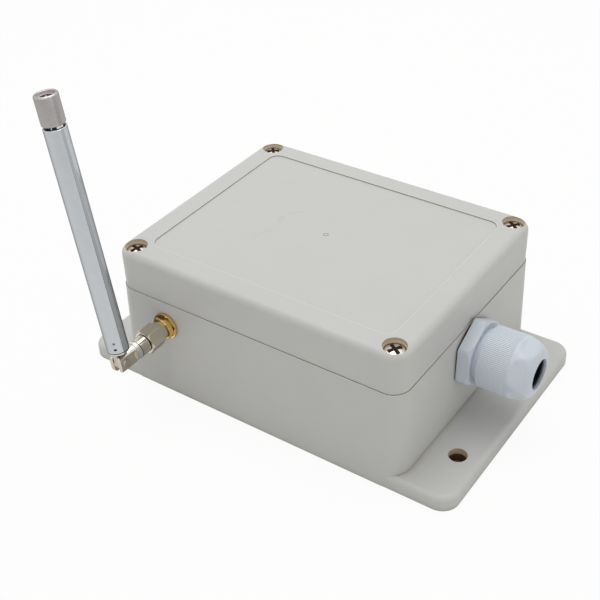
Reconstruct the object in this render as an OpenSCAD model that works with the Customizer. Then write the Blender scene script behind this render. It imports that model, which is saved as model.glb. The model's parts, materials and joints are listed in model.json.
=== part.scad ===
// Garage door controller: screwed enclosure with ears, cable gland and folding telescopic antenna
// Origin at the centre of the underside. +X towards the cable gland, -Y towards the antenna, +Z up

/* [Enclosure] */
// Length of the box at the parting line
body_l = 115; // [105:0.5:150]
// Width of the box at the parting line
body_w = 92.6; // [88:0.2:130]
// Height of the parting line above the underside
base_h = 39; // [37:0.5:60]
// Height of the lid above the parting line
lid_h = 15.2; // [13:0.2:30]
// Thickness of the side walls
wall = 3; // [2.8:0.1:3.6]
// Thickness of the floor
floor_t = 2.6; // [2:0.1:4]
// Thickness of the lid's top
lid_top_t = 2.6; // [2:0.1:4]
// Radius of the upright corners at the parting line
corner_r = 6.5; // [5.5:0.1:8]
// How far the base's walls lean out from the parting line to the underside
base_draft = 0.9; // [0.4:0.1:1.2]
// How far the lid stands back from the base's edge
lid_inset = 0.3; // [0:0.05:0.5]
// Radius of the lid's upper edge
lid_fillet = 2.7; // [1:0.1:3.2]
// Border between the lid's edge and its recessed panel
panel_margin = 8.8; // [8:0.1:14]
// Depth of the recessed panel
panel_depth = 0.4; // [0.2:0.1:1]
// Corner radius of the recessed panel
panel_r = 4; // [2:0.5:8]

/* [Ears] */
// How far each ear reaches past the box
ear_reach = 19.1; // [16:0.1:26]
// Thickness of the ears
ear_t = 5.4; // [4:0.1:7]
// Corner radius of the ears
ear_r = 6.2; // [3:0.1:8]
// Radius of the ears' upper edge
ear_fillet = 2; // [0.5:0.1:2.5]
// Diameter of the mounting holes
ear_hole_d = 6.5; // [4:0.1:7]
// Distance from an ear's end to its holes
ear_hole_inset = 8.4; // [7:0.1:10]
// Distance between the two holes of an ear
ear_hole_pitch = 52.4; // [30:0.2:70]

/* [Lid screws] */
// Distance from the box's sides to a screw's axis
screw_inset = 5.85; // [5.6:0.05:6.4]
// Diameter of the screws' thread
screw_d = 4; // [3:0.1:4.4]
// Diameter of the screws' heads
screw_head_d = 6.6; // [6:0.1:7]
// Height of the screws' heads
screw_head_h = 2.4; // [1.8:0.1:2.8]
// Length of the screws under the head
screw_l = 16; // [14:0.5:17]
// Diameter of the recesses round the heads
screw_recess_d = 7.9; // [7.7:0.1:8.4]
// Depth of the recesses
screw_recess_depth = 3.6; // [3.4:0.1:6]
// Radius of the screw towers inside the base
tower_r = 5.4; // [5.3:0.1:6]
// Outer diameter of the brass inserts
insert_d = 5.4; // [5.2:0.1:5.8]
// Length of the brass inserts
insert_l = 7; // [5:0.5:9]

/* [Seal] */
// Thickness of the base's rim tongue
tongue_t = 1.1; // [0.8:0.1:1.3]
// Height of the rim tongue
tongue_h = 2; // [1.5:0.1:3]
// Height of the rubber cord in the lid's groove
gasket_h = 1; // [0.6:0.1:1.6]

/* [Cable gland] */
// Distance from the parting line down to the gland's axis
gland_drop = 11.1; // [11:0.1:13]
// Width across the flats of the gland's hexagon
gland_af = 22; // [21:0.1:22.4]
// Thickness of the hexagon
gland_hex_t = 4.6; // [3:0.1:6]
// Turn of the hexagon from a corner straight up, as it was left when tightened
gland_turn = -3; // [-30:1:30]
// Diameter of the gland's inner thread, through the wall
gland_thread_d = 18.6; // [17:0.1:19.4]
// Diameter of the gland's outer thread, under the dome nut
gland_nut_thread_d = 18.3; // [17.6:0.1:18.5]
// Gap between the hexagon and the dome nut, as it is left before tightening
gland_gap = 2; // [1:0.1:3]
// Length of the dome nut
dome_l = 18; // [17:0.1:20]
// Length of the ribbed stretch of the dome nut
dome_rib_l = 10.4; // [9:0.1:12]
// Diameter of the ribbed stretch, over the ribs
dome_d = 22; // [21.6:0.1:23]
// Number of ribs round the dome nut
dome_ribs = 108; // [72:1:120]
// Diameter of the dome nut's mouth
dome_mouth_d = 10.8; // [10.2:0.1:11.4]
// Largest cable that goes through the rubber bush
cable_d = 10; // [6:0.1:10]
// Width across the flats of the inner locknut
locknut_af = 24; // [22:0.5:26]
// Thickness of the inner locknut
locknut_t = 4.6; // [3:0.1:6]

/* [Antenna connector] */
// Distance of the connector's axis from the box's left end
sma_inset = 21.2; // [19:0.1:32]
// Distance from the parting line down to the connector's axis
sma_drop = 9.4; // [7:0.1:12]
// Diameter of the connector's thread
sma_thread_d = 6.35; // [6:0.05:6.5]
// Diameter of the gold washer on the wall
sma_washer_d = 9.7; // [8.4:0.1:10]
// Thickness of the gold washer
sma_washer_t = 0.9; // [0.5:0.1:1.2]
// Width across the flats of the gold nut
sma_nut_af = 7.6; // [7.4:0.1:8]
// Thickness of the gold nut
sma_nut_t = 1.9; // [1.5:0.1:2.5]
// Width across the flats of the coupling nut
coupling_af = 8; // [7.7:0.1:9]
// Length of the coupling nut, collar included
coupling_l = 8.2; // [7:0.1:9]
// Length of the coupling nut's round collar
coupling_collar_l = 1.7; // [1:0.1:2.5]
// Diameter of the plug's barrel
barrel_d = 6.7; // [6.2:0.1:7]
// Length of the plug's barrel
barrel_l = 4.1; // [3:0.1:6]
// Thickness of the bright washer under the elbow
swivel_t = 1.4; // [0.8:0.1:2]

/* [Antenna] */
// Lean of the antenna to the left, turned at the elbow's swivel
antenna_lean = 8; // [-20:0.2:20]
// Distance from the swivel washer to the antenna's pivot
elbow_l = 5.6; // [5.4:0.1:12]
// Diameter of the elbow's round bar
elbow_d = 6.6; // [6.2:0.1:7.2]
// Width of the elbow across its two lugs
elbow_w = 5.2; // [4.8:0.1:6]
// Thickness of the tongue between the lugs
tongue_w = 2.1; // [1.6:0.1:2.6]
// Diameter of the pivot pin
pivot_d = 1.8; // [1.4:0.1:2.2]
// Distance from the pivot to the foot of the outer tube
mast_foot = 4.7; // [4.6:0.1:6]
// Length of the outer tube
mast_l = 80.2; // [60:0.1:110]
// Outer diameter of the outer tube
mast_d = 7.5; // [7.3:0.1:8]
// Wall of the antenna's tubes
tube_wall = 0.3; // [0.25:0.01:0.32]
// Radial step from one tube to the next inner one
tube_step = 0.55; // [0.52:0.01:0.56]
// Gap between the outer tube and the cap
cap_gap = 1.2; // [0.9:0.1:1.6]
// Length of the cap
cap_l = 9.5; // [8:0.1:14]
// Diameter of the cap
cap_d = 7.65; // [7.4:0.05:8.4]

/* [Circuit board] */
// Gap between the circuit board and the end walls
board_gap_x = 12.5; // [10.5:0.1:13]
// Gap between the circuit board and the side walls
board_gap_y = 9.3; // [8:0.1:10]
// Thickness of the circuit board
board_t = 1.6; // [1:0.1:2.4]
// Height of the board's posts above the floor
post_h = 5.5; // [4:0.1:7]
// Distance of the posts from the board's edges
post_inset = 5; // [4:0.1:6]
// Number of ways of the terminal block
terminal_ways = 6; // [3:1:7]
// Distance between two ways of the terminal block
terminal_pitch = 5.08; // [5:0.01:5.08]
// Length of a relay
relay_l = 19; // [15:0.1:19]
// Width of a relay
relay_w = 15.4; // [12:0.1:15.8]
// Height of a relay
relay_h = 15; // [10:0.1:16]
// Length of the radio receiver's board
radio_l = 28; // [26:0.5:30]
// Width of the radio receiver's board
radio_w = 20; // [18:0.5:20]
// Diameter of the supply's capacitors
capacitor_d = 8; // [6.3:0.1:8.4]
// Height of the supply's capacitors
capacitor_h = 11.5; // [9:0.5:16]
// Stroke of the learn button
button_stroke = 0.25; // [0.1:0.05:0.4]

/* [Hidden] */
$fn = 48;
// Radial clearance of threads, sliding tubes and turning fits
fit = 0.05;
// Clearance between a screw or stub and the plain hole it passes
hole_play = 0.2;
// Overshoot of a cut past the face that it opens
cut = 1;
corner_x = body_l / 2 - corner_r;
corner_y = body_w / 2 - corner_r;
total_h = base_h + lid_h;
gland_z = base_h - gland_drop;
sma_x = -body_l / 2 + sma_inset;
sma_z = base_h - sma_drop;
screw_x = body_l / 2 - screw_inset;
screw_y = body_w / 2 - screw_inset;
screw_seat_z = total_h - screw_recess_depth;
// The recess narrows to this much play round the head, over a short cone under its mouth
head_play = 0.3;
recess_rim = 1;
recess_cone = 0.8;
// The tongue's inner face stands this far outside the cavity
tongue_in = (wall - lid_inset - tongue_t) / 2;
ear_end = body_l / 2 + ear_reach;
ear_hole_x = ear_end - ear_hole_inset;
// The ears' long sides stand this far behind the foot of the box's drafted side
ear_setback = 0.14;
board_l = body_l - 2 * wall - 2 * board_gap_x;
board_w = body_w - 2 * wall - 2 * board_gap_y;
board_z = floor_t + post_h;
board_top = board_z + board_t;
post_x = board_l / 2 - post_inset;
post_y = board_w / 2 - post_inset;
post_r = 3.2;

// Gland, measured outwards from the parting line's end face
seal_t = 0.7;
neck_at = seal_t + gland_hex_t;
dome_at = neck_at + gland_gap;
gland_end = neck_at + 7.2;
gland_seat = neck_at - 0.3;
stub_l = wall + locknut_t + 4;
gland_bore_r = cable_d / 2 + 0.8;
claw_r = cable_d / 2 + 2.55;
claw_t = 1.35;
dome_end = dome_at + dome_l;
mouth_lip = 0.9;
dome_bore_r = gland_nut_thread_d / 2 + fit;
dome_cone_l = 5.4;
dome_cone_at = dome_end - mouth_lip - dome_cone_l;
dome_mouth_r = dome_mouth_d / 2;
// The claw's tip stops short of the cone by this much, measured across the axis
claw_play = 0.4;
claw_tip = dome_cone_at + dome_cone_l * (dome_bore_r - claw_r - claw_play) / (dome_bore_r - dome_mouth_r);
claw_at = dome_at + 0.1;
// The bush's front follows the cone and ends this far inside the mouth
bush_depth = 1.5;
bush_end = dome_end - bush_depth;
bush_tip_r = dome_mouth_r + (bush_depth - mouth_lip) * (dome_bore_r - dome_mouth_r) / dome_cone_l - 0.3;

// Connector, measured outwards from the parting line's front face
sma_seat = base_draft * (base_h - sma_z + sma_washer_d / 2) / base_h;
sma_r = sma_thread_d / 2;
sma_nut_at = sma_seat + sma_washer_t;
neck_gap = 0.7;
coupling_at = sma_nut_at + sma_nut_t + neck_gap;
coupling_end = coupling_at + coupling_l;
jack_end = coupling_end - 3.1;
barrel_at = coupling_end + 0.3;
swivel_at = barrel_at + barrel_l;
elbow_at = swivel_at + swivel_t;
pivot_at = elbow_at + elbow_l;
stem_r = 1.5;
stem_end = elbow_at + 1.8;
// The lugs' rounded end reaches this far past the pivot, and their corners this far from it
lug_l = 2.7;
lug_round = 1.7;
lug_reach = lug_round + sqrt(pow(lug_l - lug_round, 2) + pow(elbow_d / 2 - lug_round, 2));
slot_w = tongue_w + 0.2;
tongue_r = lug_l - 0.1;
jack_bore_r = 2.3;
insulator_r = 2.05;
contact_r = 0.635;
jack_rear = wall + 9.9;

// Telescopic sections, measured upwards from the pivot; section 0 is the outer tube
mast_r = mast_d / 2;
mast_top = mast_foot + mast_l;
section_r = [for (i = [0:4]) mast_r - i * tube_step];
cap_at = mast_top + cap_gap;
plug_l = 10;
collar_l = 5;
lip_l = 1;
// The rod comes up through the cap's floor, this far below its top
rod_depth = 3.4;

terminal_l = terminal_ways * terminal_pitch;
terminal_x = board_l / 2 - 9;
pigtail_r = 0.9;
pigtail_bend = 6;
pigtail_run = 4;
pigtail_y = -body_w / 2 + jack_rear + pigtail_run + pigtail_bend;
radio_t = 1;
radio_x = sma_x - 5 + radio_l / 2;
radio_y = pigtail_y - 2.6 + radio_w / 2;
capacitor_r = capacitor_d / 2;
capacitor_x = -board_l / 2 + 6;
capacitor_y = post_y - 3.5 - capacitor_r;
fuse_x = 15;
fuse_y = -board_w / 2 + 6.5;
fuse_h = 4.6;
button_x = -6;
button_y = -board_w / 2 + 7;
switch_h = 3.4;
button_h = 1.6;

// Places that repeat

module each_corner(x, y) {
    for (mx = [0, 1], my = [0, 1])
        mirror([mx, 0, 0]) mirror([0, my, 0]) translate([x, y, 0]) children();
}

module at_gland() {
    translate([body_l / 2, 0, gland_z]) rotate([0, 90, 0]) children();
}

module at_connector() {
    translate([sma_x, -body_w / 2, sma_z]) rotate([90, 0, 0]) children();
}

module at_elbow() {
    at_connector() rotate([0, 0, antenna_lean]) children();
}

module at_mast() {
    at_elbow() translate([0, 0, pivot_at]) rotate([-90, 0, 0]) children();
}

// Shapes that repeat

module tube(r_out, r_in, from, to) {
    translate([0, 0, from]) difference() {
        cylinder(r = r_out, h = to - from);
        translate([0, 0, -cut]) cylinder(r = r_in, h = to - from + 2 * cut);
    }
}

module rod(r, from, to) {
    translate([0, 0, from]) cylinder(r = r, h = to - from);
}

module hex_prism(across_flats, from, to) {
    translate([0, 0, from]) cylinder(r = across_flats / 2 / cos(30), h = to - from, $fn = 6);
}

// A hexagon whose corners are turned down to a chamfer at both ends
module chamfered_hex(across_flats, chamfer_r, bevel, from, to) {
    corner = across_flats / 2 / cos(30);
    intersection() {
        hex_prism(across_flats, from, to);
        rotate_extrude() polygon([
            [0, from], [chamfer_r, from], [corner, from + bevel],
            [corner, to - bevel], [chamfer_r, to], [0, to]
        ]);
    }
}

// Half outline of a plate or shell with a rounded upper edge
module rounded_edge(reach, h, fillet) {
    square([reach, h - fillet]);
    square([reach - fillet, h]);
    translate([reach - fillet, h - fillet]) intersection() {
        circle(fillet);
        square(fillet);
    }
}

// Upright block with rounded corners and a rounded upper edge
module soft_block(x, y, r, h, fillet) {
    each_corner(x, y) rotate_extrude() rounded_edge(r, h, fillet);
    rotate([90, 0, 0]) linear_extrude(2 * y, center = true) {
        for (side = [0, 1])
            mirror([side, 0]) translate([x, 0]) rounded_edge(r, h, fillet);
        translate([-x, 0]) square([2 * x, h]);
    }
    rotate([90, 0, 90]) linear_extrude(2 * x, center = true) {
        for (side = [0, 1])
            mirror([side, 0]) translate([y, 0]) rounded_edge(r, h, fillet);
        translate([-y, 0]) square([2 * y, h]);
    }
}

// Base's outer form: four corner cones with leaning walls between them
module drafted_block() {
    low = corner_r + base_draft;
    each_corner(corner_x, corner_y) cylinder(r1 = low, r2 = corner_r, h = base_h);
    rotate([90, 0, 0]) linear_extrude(2 * corner_y, center = true) polygon([
        [-corner_x - low, 0], [corner_x + low, 0],
        [corner_x + corner_r, base_h], [-corner_x - corner_r, base_h]
    ]);
    rotate([90, 0, 90]) linear_extrude(2 * corner_x, center = true) polygon([
        [-corner_y - low, 0], [corner_y + low, 0],
        [corner_y + corner_r, base_h], [-corner_y - corner_r, base_h]
    ]);
}

module ear_plate() {
    side = body_w / 2 + base_draft - ear_setback;
    soft_block(ear_end - ear_r, side - ear_r, ear_r, ear_t, ear_fillet);
}

// Outline of the inside, drawn in at the corners round the screw towers
module cavity_outline(grow) {
    r = tower_r - grow;
    difference() {
        square([body_l - 2 * wall + 2 * grow, body_w - 2 * wall + 2 * grow], center = true);
        each_corner(screw_x, screw_y) {
            circle(r);
            translate([0, -r]) square([2 * tower_r, 3 * r]);
            translate([-r, 0]) square([3 * r, 2 * tower_r]);
        }
    }
}

module rim_ring(inner, outer, h) {
    linear_extrude(h) difference() {
        cavity_outline(outer);
        cavity_outline(inner);
    }
}

// Enclosure

module enclosure_base() {
    color([0.73, 0.73, 0.7]) difference() {
        union() {
            difference() {
                union() {
                    drafted_block();
                    ear_plate();
                }
                translate([0, 0, floor_t]) linear_extrude(base_h) cavity_outline(0);
            }
            translate([0, 0, base_h - cut]) rim_ring(tongue_in, tongue_in + tongue_t, tongue_h + cut);
            each_corner(post_x, post_y) rod(post_r, floor_t - 0.5, board_z);
        }
        each_corner(screw_x, screw_y) {
            rod(insert_d / 2, base_h - insert_l, base_h + cut);
            rod(screw_d / 2 + hole_play, base_h - insert_l - 6, base_h);
        }
        each_corner(post_x, post_y) rod(1.1, floor_t + 1, board_z + cut);
        each_corner(ear_hole_x, ear_hole_pitch / 2) rod(ear_hole_d / 2, -cut, ear_t + cut);
        at_gland() rod(gland_thread_d / 2 + hole_play, -wall - cut, 2 * cut);
        at_connector() rod(sma_r + hole_play, -wall - cut, 2 * cut);
    }
}

module enclosure_lid() {
    lid_r = corner_r - lid_inset;
    panel_x = body_l / 2 - lid_inset - panel_margin - panel_r;
    panel_y = body_w / 2 - lid_inset - panel_margin - panel_r;
    groove_play = 0.1;
    color([0.8, 0.8, 0.78]) difference() {
        translate([0, 0, base_h]) soft_block(corner_x, corner_y, lid_r, lid_h, lid_fillet);
        translate([0, 0, base_h - cut]) linear_extrude(lid_h - lid_top_t + cut) cavity_outline(0);
        translate([0, 0, base_h - cut])
            rim_ring(tongue_in - groove_play, tongue_in + tongue_t + groove_play, tongue_h + gasket_h + cut);
        translate([0, 0, total_h - panel_depth]) linear_extrude(panel_depth + cut) {
            square([2 * (panel_x + panel_r), 2 * panel_y], center = true);
            square([2 * panel_x, 2 * (panel_y + panel_r)], center = true);
            each_corner(panel_x, panel_y) circle(panel_r);
        }
        each_corner(screw_x, screw_y) {
            rod(screw_recess_d / 2, total_h - recess_rim, total_h + cut);
            translate([0, 0, total_h - recess_rim - recess_cone])
                cylinder(r1 = screw_head_d / 2 + head_play, r2 = screw_recess_d / 2, h = recess_cone);
            rod(screw_head_d / 2 + head_play, screw_seat_z, total_h - recess_rim);
            rod(screw_d / 2 + hole_play, base_h - cut, screw_seat_z + cut);
        }
    }
}

module lid_gasket() {
    color([0.2, 0.2, 0.21]) translate([0, 0, base_h + tongue_h])
        rim_ring(tongue_in, tongue_in + tongue_t, gasket_h);
}

// Pan head with a cross recess, standing on its seat at the origin
module pan_head_screw(head_d, head_h, d, l) {
    crown_r = head_d * 1.2;
    difference() {
        union() {
            intersection() {
                rod(head_d / 2, 0, head_h);
                translate([0, 0, head_h - crown_r]) sphere(crown_r, $fn = 36);
            }
            rod(d / 2, -l, cut / 2);
        }
        for (turn = [0, 90])
            rotate([0, 0, turn]) translate([0, 0, head_h])
                cube([head_d * 0.6, head_d * 0.15, head_h * 1.3], center = true);
        translate([0, 0, head_h * 0.2]) cylinder(r1 = head_d * 0.05, r2 = head_d * 0.17, h = head_h);
    }
}

module lid_screws() {
    turns = [52, 40, 73, 58];
    places = [[1, 1], [-1, 1], [-1, -1], [1, -1]];
    color([0.72, 0.7, 0.68]) for (i = [0:3])
        translate([places[i][0] * screw_x, places[i][1] * screw_y, screw_seat_z])
            rotate([0, 0, turns[i]]) pan_head_screw(screw_head_d, screw_head_h, screw_d, screw_l);
}

module lid_inserts() {
    color([0.78, 0.6, 0.3]) each_corner(screw_x, screw_y)
        tube(insert_d / 2, screw_d / 2 + fit, base_h - insert_l, base_h);
}

// Cable gland

module gland_body() {
    corner = gland_af / 2 / cos(30);
    color([0.8, 0.84, 0.88]) at_gland() difference() {
        union() {
            rotate([0, 0, gland_turn]) intersection() {
                hex_prism(gland_af, seal_t, neck_at);
                rotate_extrude() polygon([
                    [0, seal_t], [corner - 0.3, seal_t], [corner - 0.3, neck_at - 0.8],
                    [gland_af / 2 + 0.1, neck_at], [0, neck_at]
                ]);
            }
            rod(gland_thread_d / 2, seal_t - stub_l, seal_t + cut);
            rod(gland_nut_thread_d / 2, neck_at - cut, gland_end);
        }
        rod(gland_bore_r, -stub_l - cut, gland_seat + cut);
        rod(claw_r + 0.1, gland_seat, gland_end + cut);
    }
}

module gland_face_seal() {
    color([0.13, 0.13, 0.14]) difference() {
        at_gland() tube(gland_af / 2 - 0.6, gland_thread_d / 2, -0.5, seal_t);
        drafted_block();
    }
}

module gland_locknut() {
    color([0.8, 0.84, 0.88]) at_gland() difference() {
        chamfered_hex(locknut_af, locknut_af / 2, 0.8, -wall - locknut_t, -wall);
        rod(gland_thread_d / 2 + fit, -wall - locknut_t - cut, -wall + cut);
    }
}

module gland_claw() {
    fingers = 12;
    slit_w = 0.9;
    ring_l = 4;
    color([0.85, 0.87, 0.88]) at_gland() difference() {
        tube(claw_r, claw_r - claw_t, claw_at, claw_tip);
        for (i = [0:fingers - 1])
            rotate([0, 0, i * 360 / fingers])
                translate([0, -slit_w / 2, claw_at + ring_l]) cube([2 * claw_r, slit_w, dome_l]);
    }
}

module gland_seal_bush() {
    bush_r = claw_r - claw_t - fit;
    shoulder = bush_end - (bush_r - bush_tip_r) * dome_cone_l / (dome_bore_r - dome_mouth_r);
    color([0.09, 0.09, 0.1]) at_gland() rotate_extrude() polygon([
        [cable_d / 2, claw_at + 0.5], [bush_r, claw_at + 0.5], [bush_r, shoulder],
        [bush_tip_r, bush_end], [cable_d / 2, bush_end]
    ]);
}

// Fine ribs, then six facets that lean in over the rounded end
module gland_dome_nut() {
    rib_h = 0.28;
    rib_foot = 0.56;
    rib_top = 0.18;
    root_r = dome_d / 2 - rib_h;
    smooth_r = dome_d / 2 - 0.05;
    round_r = smooth_r - dome_mouth_r - 0.1;
    smooth_at = dome_at + dome_rib_l;
    // Six flats: a short steep shoulder, then a gentle lean until the rounded front cuts them off
    facet_at = smooth_at + 1.3;
    facet_turn = 2;
    facet_depth = 0.6;
    facet_lean = 15;
    facet_w = dome_d * 0.8;
    lean_x = smooth_r - facet_depth - (dome_end - facet_at) * tan(facet_lean);
    color([0.8, 0.84, 0.88]) at_gland() difference() {
        union() {
            translate([0, 0, dome_at]) linear_extrude(dome_rib_l) {
                circle(root_r);
                for (i = [0:dome_ribs - 1])
                    rotate(i * 360 / dome_ribs) polygon([
                        [root_r - 0.05, -rib_foot / 2], [dome_d / 2, -rib_top / 2],
                        [dome_d / 2, rib_top / 2], [root_r - 0.05, rib_foot / 2]
                    ]);
            }
            translate([0, 0, smooth_at]) rotate_extrude() {
                square([smooth_r, dome_l - dome_rib_l - round_r]);
                square([dome_mouth_r + 0.1, dome_l - dome_rib_l]);
                translate([dome_mouth_r + 0.1, dome_l - dome_rib_l - round_r]) intersection() {
                    circle(round_r);
                    square(round_r);
                }
            }
        }
        for (i = [0:5])
            rotate([0, 0, facet_turn + i * 60]) rotate([90, 0, 0]) linear_extrude(facet_w, center = true)
                polygon([
                    [smooth_r + 0.1, facet_at - 0.1], [smooth_r - facet_depth, facet_at + facet_depth],
                    [lean_x, dome_end + facet_depth], [dome_d, dome_end + facet_depth], [dome_d, facet_at - 0.1]
                ]);
        rod(dome_bore_r, dome_at - cut, dome_cone_at);
        translate([0, 0, dome_cone_at])
            cylinder(r1 = dome_bore_r, r2 = dome_mouth_r, h = dome_cone_l);
        rod(dome_mouth_r, dome_cone_at, dome_end + cut);
    }
}

// Antenna connector

module sma_jack() {
    color([0.83, 0.66, 0.32]) at_connector() difference() {
        union() {
            rod(sma_r, -wall - 1, jack_end);
            hex_prism(8, -wall - 2, -wall);
            rod(2.6, -wall - 5, -wall - 1);
            rod(2, -jack_rear, -wall - 4);
        }
        rod(jack_bore_r, jack_end - 2.5, jack_end + cut);
        rod(insulator_r, -wall - 4, jack_end);
        rod(pigtail_r, -jack_rear - cut, -wall - 3);
    }
}

module sma_insulator() {
    color([0.93, 0.93, 0.9]) at_connector() tube(insulator_r, contact_r, -wall - 4, jack_end - 2.5);
}

module sma_contact() {
    color([0.85, 0.68, 0.33]) at_connector() difference() {
        rod(contact_r, -wall - 4, jack_end - 1);
        rod(0.45 + fit, jack_end - 4, jack_end);
    }
}

module sma_washer() {
    color([0.83, 0.66, 0.32]) at_connector()
        tube(sma_washer_d / 2, sma_r + fit, sma_seat, sma_nut_at);
}

module sma_hex_nut() {
    color([0.83, 0.66, 0.32]) at_connector() rotate([0, 0, 10]) difference() {
        chamfered_hex(sma_nut_af, sma_nut_af / 2, 0.5, sma_nut_at, sma_nut_at + sma_nut_t);
        rod(sma_r + fit, sma_nut_at - cut, coupling_at + cut);
    }
}

module coupling_nut() {
    lip = 1.5;
    hex_at = coupling_at + coupling_collar_l;
    color([0.66, 0.64, 0.6]) at_connector() rotate([0, 0, 1]) difference() {
        union() {
            rod(coupling_af / 2 - 0.45, coupling_at, hex_at + cut);
            chamfered_hex(coupling_af, coupling_af / 2, 0.5, hex_at, coupling_end);
        }
        rod(sma_r + fit, coupling_at - cut, coupling_end - lip);
        rod(stem_r + 0.9 + fit, coupling_end - lip - cut, coupling_end + cut);
    }
}

module plug_body() {
    neck_r = stem_r + 0.9;
    flange_r = sma_r - 0.15;
    groove_at = swivel_at - 0.35;
    color([0.72, 0.7, 0.67]) at_connector() difference() {
        union() {
            rod(jack_bore_r - fit, jack_end - 2, jack_end + 0.5);
            rod(flange_r, jack_end + 0.1, coupling_end - 1.6);
            rod(neck_r, jack_end + 0.5, barrel_at + cut);
            rod(barrel_d / 2, barrel_at, groove_at);
            rod(barrel_d / 2 - 0.5, groove_at - cut, swivel_at);
            rod(stem_r, swivel_at - cut, stem_end);
        }
        rod(jack_bore_r - 0.5, jack_end - 2 - cut, swivel_at - 1);
    }
}

module plug_insulator() {
    color([0.93, 0.93, 0.9]) at_connector() tube(jack_bore_r - 0.5, 0.45, jack_end + 0.2, swivel_at - 1);
}

module plug_contact() {
    color([0.85, 0.68, 0.33]) at_connector() rod(0.45, jack_end - 3, swivel_at - 1);
}

module swivel_washer() {
    color([0.88, 0.88, 0.87]) at_elbow() tube(elbow_d / 2 + 0.2, stem_r + fit, swivel_at + fit, elbow_at);
}

// Round bar with two flats, ending in two lugs round the pivot
module elbow() {
    bar_at = elbow_at + 1;
    bar_end = pivot_at + lug_l;
    slot_at = pivot_at - tongue_r - 0.4;
    r = elbow_d / 2;
    color([0.66, 0.64, 0.6]) at_elbow() difference() {
        intersection() {
            rod(r, elbow_at, bar_end);
            rotate([90, 0, 90]) linear_extrude(2 * r, center = true) {
                translate([-r, elbow_at]) square([2 * r, bar_end - lug_round - elbow_at]);
                translate([lug_round - r, elbow_at]) square([2 * (r - lug_round), bar_end - elbow_at]);
                for (side = [-1, 1])
                    translate([side * (r - lug_round), bar_end - lug_round]) circle(lug_round);
            }
            union() {
                rod(r, elbow_at, bar_at);
                translate([-elbow_w / 2, -elbow_d, elbow_at]) cube([elbow_w, 2 * elbow_d, 2 * elbow_l]);
            }
        }
        translate([-slot_w / 2, -elbow_d, slot_at]) cube([slot_w, 2 * elbow_d, 2 * elbow_l]);
        rod(stem_r + fit, elbow_at - cut, stem_end + 0.2);
        translate([0, 0, pivot_at]) rotate([0, 90, 0])
            cylinder(r = pivot_d / 2, h = 2 * elbow_w, center = true);
    }
}

module pivot_pin() {
    head_t = 0.4;
    color([0.75, 0.73, 0.7]) at_mast() rotate([0, 90, 0]) {
        rod(pivot_d / 2, -elbow_w / 2, elbow_w / 2);
        for (side = [0, 1])
            mirror([0, 0, side]) rod(pivot_d / 2 + 0.5, elbow_w / 2, elbow_w / 2 + head_t);
    }
}

// Antenna

module antenna_base() {
    shoulder = lug_reach + 0.2;
    color([0.7, 0.7, 0.68]) at_mast() difference() {
        union() {
            intersection() {
                union() {
                    rotate([0, 90, 0]) cylinder(r = tongue_r, h = tongue_w, center = true);
                    rod(tongue_r, 0, mast_foot);
                }
                translate([-tongue_w / 2, -mast_d, -mast_d]) cube([tongue_w, 2 * mast_d, 2 * mast_d]);
            }
            translate([0, 0, shoulder])
                cylinder(r1 = mast_r - 1.1, r2 = mast_r - 0.1, h = mast_foot - shoulder);
            rod(mast_r - tube_wall, mast_foot - cut / 4, mast_foot + plug_l);
        }
        rotate([0, 90, 0]) cylinder(r = pivot_d / 2 + fit, h = 2 * tongue_w, center = true);
    }
}

// One tube of the telescope: collar at its foot that runs in the next outer tube, lip at its top
module telescope_tube(index, foot, top) {
    r = section_r[index];
    collar_r = index == 0 ? r : section_r[index - 1] - tube_wall - fit;
    lip_r = section_r[index + 1] + fit;
    difference() {
        union() {
            rod(r, foot, top);
            rod(collar_r, foot, foot + collar_l);
        }
        rod(r - tube_wall, foot - cut, top - lip_l);
        rod(lip_r, top - lip_l - cut, top + cut);
    }
}

function section_foot(index) = mast_foot + plug_l + 0.5 + index * 1.2;
function section_top(index) = mast_top + 0.3 + index * 0.08;

module antenna_tube_1() {
    // A punched hole and a dimple fix the tube on its plug
    facing = 54;
    color([0.82, 0.83, 0.85]) at_mast() difference() {
        telescope_tube(0, mast_foot, mast_top);
        rotate([0, 0, -facing]) translate([mast_r, 0, mast_foot + 2.4]) rotate([0, 90, 0])
            cylinder(r = 0.42, h = 3 * tube_wall, center = true, $fn = 24);
        rotate([0, 0, -facing]) translate([mast_r + 0.35, 0, mast_foot + 4.7]) sphere(0.58, $fn = 24);
    }
}

module antenna_tube_2() {
    color([0.82, 0.83, 0.85]) at_mast() telescope_tube(1, section_foot(1), section_top(1));
}

module antenna_tube_3() {
    color([0.82, 0.83, 0.85]) at_mast() telescope_tube(2, section_foot(2), section_top(2));
}

module antenna_tube_4() {
    color([0.82, 0.83, 0.85]) at_mast() telescope_tube(3, section_foot(3), section_top(3));
}

module antenna_rod() {
    color([0.82, 0.83, 0.85]) at_mast() {
        rod(section_r[4], section_foot(4), cap_at + cap_l - rod_depth);
        rod(section_r[3] - tube_wall - fit, section_foot(4), section_foot(4) + collar_l);
    }
}

// Hollow cap with a thin rim, a shoulder and two thread grooves over its floor
module antenna_cap() {
    rim_r = cap_d / 2 - 0.3;
    well_r = rim_r - 0.5;
    top = cap_at + cap_l;
    color([0.6, 0.59, 0.57]) at_mast() difference() {
        rod(cap_d / 2, cap_at, top);
        rod(section_r[4], cap_at - cut, top);
        rod(rim_r, top - 0.6, top + cut);
        rod(well_r, top - 4.2, top);
        for (depth = [1.7, 2.7])
            rod(well_r + 0.25, top - depth, top - depth + 0.35);
    }
}

// Circuit board and its components

module on_board(x, y) {
    translate([x, y, board_top]) children();
}

module box(l, w, from, to) {
    translate([-l / 2, -w / 2, from]) cube([l, w, to - from]);
}

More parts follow.
